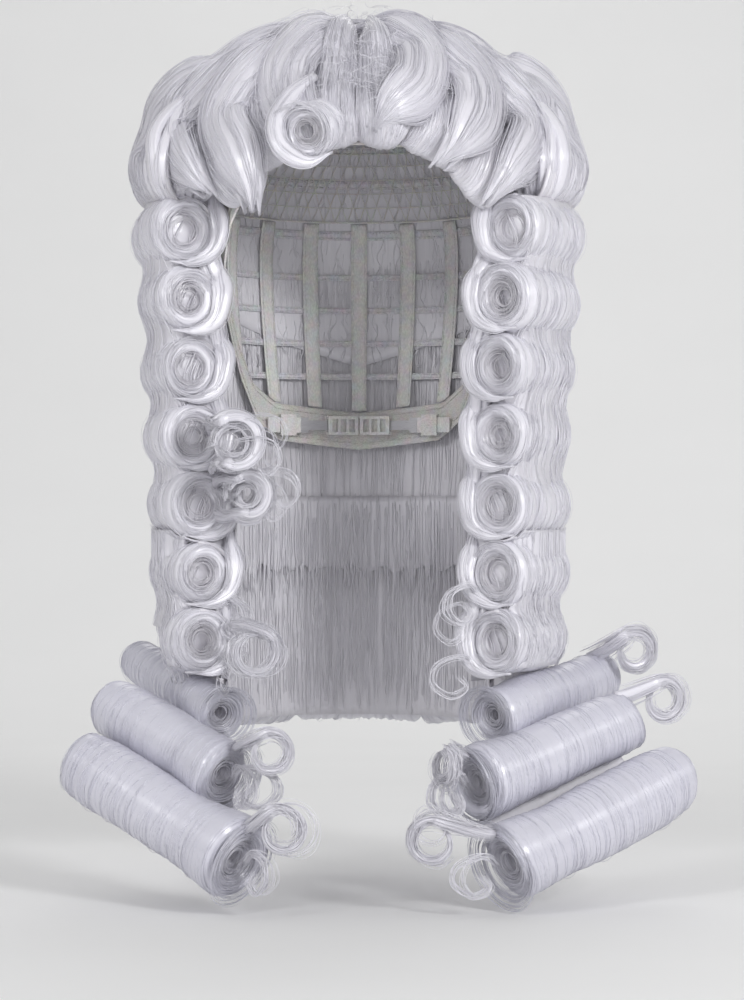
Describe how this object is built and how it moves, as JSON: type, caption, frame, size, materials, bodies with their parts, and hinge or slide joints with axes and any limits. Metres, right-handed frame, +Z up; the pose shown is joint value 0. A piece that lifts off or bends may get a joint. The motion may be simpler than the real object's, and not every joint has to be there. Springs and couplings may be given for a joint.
{
  "type": "costume wig",
  "caption": "Full-bottomed white costume wig: stretch cap with wefts, puffed crown, rows of sausage curls, and shoulder rolls that hang in front.",
  "frame": {"origin": "centre of the head opening at brow height, on the wearer's midline", "axes": "+Z up the wearer's head, the wearer looks along -Y, +X is the wearer's left"},
  "size_m": [0.3236, 0.2687, 0.4342],
  "materials": {
    "hair": "glossy white synthetic fibre, curled",
    "base_hair": "white synthetic fibre, laid flat",
    "cap_net": "matt stretch net",
    "cap_fabric": "matt knitted band",
    "tape": "matt woven elastic",
    "weft": "stitched weft",
    "hook": "flat pressed hook"
  },
  "bodies": {
    "wig": {"crown_patch": "cap_fabric", "crown_net": "cap_net", "front_band": "cap_fabric", "ear_tab_left": "cap_fabric", "ear_tab_right": "cap_fabric", "nape_band": "cap_fabric", "back_ribbons": "tape", "weft_rows": "weft", "loop_tape": "tape", "strap_keeper_left": "cap_fabric", "strap_keeper_right": "cap_fabric", "crown_swirl": "hair", "puff_right_1": "hair", "puff_right_2": "hair", "puff_right_3": "hair", "puff_right_4": "hair", "puff_left_1": "hair", "puff_left_2": "hair", "puff_left_3": "hair", "puff_left_4": "hair", "crown_waves": "hair", "hair_base_left": "base_hair", "hair_base_right": "base_hair", "hair_base_back": "base_hair", "side_curl_left_1": "hair", "side_curl_left_2": "hair", "side_curl_left_3": "hair", "side_curl_left_4": "hair", "side_curl_left_5": "hair", "side_curl_left_6": "hair", "side_curl_right_1": "hair", "side_curl_right_2": "hair", "side_curl_right_3": "hair", "side_curl_right_4": "hair", "side_curl_right_5": "hair", "side_curl_right_6": "hair", "back_curls_upper": "hair", "back_curls_lower": "hair", "cheek_curls_right": "hair"},
    "left_fall": {"fall_base_left": "base_hair", "side_curl_left_7": "hair", "side_curl_left_8": "hair", "shoulder_roll_left_1": "hair", "shoulder_roll_left_2": "hair", "shoulder_roll_left_3": "hair", "loose_rings_left": "hair"},
    "right_fall": {"fall_base_right": "base_hair", "side_curl_right_7": "hair", "side_curl_right_8": "hair", "shoulder_roll_right_1": "hair", "shoulder_roll_right_2": "hair", "shoulder_roll_right_3": "hair", "loose_rings_right": "hair"},
    "back_fall": {"fall_base_back": "base_hair", "back_curls_fall": "hair"},
    "left_adjuster": {"strap_left": "tape", "hook_left": "hook"},
    "right_adjuster": {"strap_right": "tape", "hook_right": "hook"}
  },
  "joints": [
    {"name": "left_fall_swing", "type": "hinge", "parent": "wig", "child": "left_fall", "pos_m": [0.0923, 0, -0.124], "axis": [0, -1, 0], "range_deg": [0, 35]},
    {"name": "right_fall_swing", "type": "hinge", "parent": "wig", "child": "right_fall", "pos_m": [-0.0923, 0, -0.124], "axis": [0, 1, 0], "range_deg": [0, 35]},
    {"name": "back_fall_swing", "type": "hinge", "parent": "wig", "child": "back_fall", "pos_m": [0, 0.1174, -0.124], "axis": [1, 0, 0], "range_deg": [0, 40], "stiffness_Nm_per_rad": 0.03, "springref_deg": -40.11},
    {"name": "left_strap_slide", "type": "slide", "parent": "wig", "child": "left_adjuster", "axis": [-0.8975, 0.4411, 0], "range_m": [0, 0.01]},
    {"name": "right_strap_slide", "type": "slide", "parent": "wig", "child": "right_adjuster", "axis": [0.8975, 0.4411, 0], "range_m": [0, 0.01]}
  ]
}
